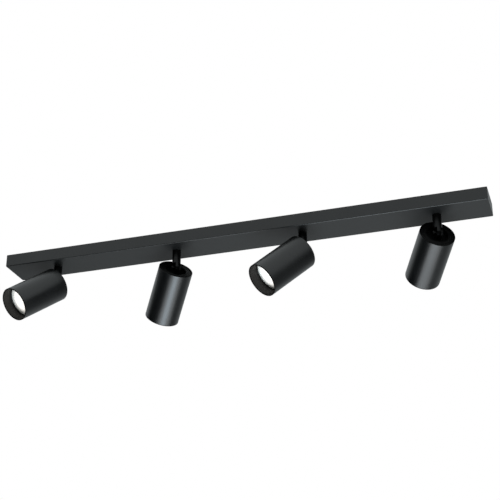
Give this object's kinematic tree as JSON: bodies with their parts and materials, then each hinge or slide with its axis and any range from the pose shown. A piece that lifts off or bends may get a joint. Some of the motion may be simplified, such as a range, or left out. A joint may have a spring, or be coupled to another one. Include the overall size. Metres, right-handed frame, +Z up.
{
  "type": "ceiling spotlight bar",
  "caption": "Long shallow black ceiling bar with cylindrical spot heads on short stems, each head turning about its stem and tilting on a hinge in its rear face.",
  "frame": {"origin": "middle of the face that lies against the ceiling", "axes": "+X along the bar, -Y towards the side seen first, +Z up into the ceiling"},
  "size_m": [0.8, 0.1741, 0.1329],
  "materials": {
    "black_powder_coat": "satin black powder coat on folded steel",
    "satin_black_tube": "satin black lacquer on aluminium tube",
    "black_steel": "semi-gloss black on turned steel",
    "black_moulding": "matt black moulding",
    "zinc_steel": "bright zinc plate",
    "brass": "plain brass",
    "white_plastic": "natural white moulding",
    "nylon": "black nylon",
    "rubber": "matt black rubber",
    "sleeving": "heat-resistant red-brown sleeving",
    "ceramic": "unglazed steatite ceramic",
    "lamp_housing": "smooth white lamp housing",
    "opal_lens": "opal diffuser, lit"
  },
  "bodies": {
    "bar": {"bar_cover": "black_powder_coat", "ceiling_bracket": "zinc_steel", "bracket_end_left": "zinc_steel", "bracket_end_right": "zinc_steel", "cover_screw_left": "black_steel", "cover_screw_right": "black_steel", "terminal_block": "white_plastic", "earth_screw": "brass", "earth_tag": "brass", "cable_grommet": "rubber", "lead_1": "sleeving", "stem_bush_1": "nylon", "lead_2": "sleeving", "stem_bush_2": "nylon", "lead_3": "sleeving", "stem_bush_3": "nylon", "lead_4": "sleeving", "stem_bush_4": "nylon"},
    "swivel_1": {"stem_1": "black_steel", "stop_washer_1": "zinc_steel", "stem_nut_1": "zinc_steel"},
    "head_1": {"head_tube_1": "satin_black_tube", "rear_cap_1": "black_moulding", "pivot_screw_1": "black_steel", "lampholder_1": "ceramic", "lamp_body_1": "lamp_housing", "lamp_lens_1": "opal_lens", "lamp_ring_1": "black_moulding"},
    "swivel_2": {"stem_2": "black_steel", "stop_washer_2": "zinc_steel", "stem_nut_2": "zinc_steel"},
    "head_2": {"head_tube_2": "satin_black_tube", "rear_cap_2": "black_moulding", "pivot_screw_2": "black_steel", "lampholder_2": "ceramic", "lamp_body_2": "lamp_housing", "lamp_lens_2": "opal_lens", "lamp_ring_2": "black_moulding"},
    "swivel_3": {"stem_3": "black_steel", "stop_washer_3": "zinc_steel", "stem_nut_3": "zinc_steel"},
    "head_3": {"head_tube_3": "satin_black_tube", "rear_cap_3": "black_moulding", "pivot_screw_3": "black_steel", "lampholder_3": "ceramic", "lamp_body_3": "lamp_housing", "lamp_lens_3": "opal_lens", "lamp_ring_3": "black_moulding"},
    "swivel_4": {"stem_4": "black_steel", "stop_washer_4": "zinc_steel", "stem_nut_4": "zinc_steel"},
    "head_4": {"head_tube_4": "satin_black_tube", "rear_cap_4": "black_moulding", "pivot_screw_4": "black_steel", "lampholder_4": "ceramic", "lamp_body_4": "lamp_housing", "lamp_lens_4": "opal_lens", "lamp_ring_4": "black_moulding"}
  },
  "joints": [
    {"name": "pan_1", "type": "hinge", "parent": "bar", "child": "swivel_1", "pos_m": [-0.318, 0, -0.0505], "axis": [0, 0, 1], "range_deg": [-131, 199]},
    {"name": "tilt_1", "type": "hinge", "parent": "swivel_1", "child": "head_1", "pos_m": [-0.318, 0, -0.0505], "axis": [-0.829, 0.5592, 0], "range_deg": [-128, 22]},
    {"name": "pan_2", "type": "hinge", "parent": "bar", "child": "swivel_2", "pos_m": [-0.106, 0, -0.0505], "axis": [0, 0, 1], "range_deg": [-24, 306]},
    {"name": "tilt_2", "type": "hinge", "parent": "swivel_2", "child": "head_2", "pos_m": [-0.106, 0, -0.0505], "axis": [0.7771, 0.6293, 0], "range_deg": [-125, 25]},
    {"name": "pan_3", "type": "hinge", "parent": "bar", "child": "swivel_3", "pos_m": [0.106, 0, -0.0505], "axis": [0, 0, 1], "range_deg": [-114, 216]},
    {"name": "tilt_3", "type": "hinge", "parent": "swivel_3", "child": "head_3", "pos_m": [0.106, 0, -0.0505], "axis": [-0.6293, 0.7771, 0], "range_deg": [-123.5, 26.5]},
    {"name": "pan_4", "type": "hinge", "parent": "bar", "child": "swivel_4", "pos_m": [0.318, 0, -0.0505], "axis": [0, 0, 1], "range_deg": [-12.5, 317.5]},
    {"name": "tilt_4", "type": "hinge", "parent": "swivel_4", "child": "head_4", "pos_m": [0.318, 0, -0.0505], "axis": [0.887, 0.4617, 0], "range_deg": [-141.5, 8.5]}
  ]
}
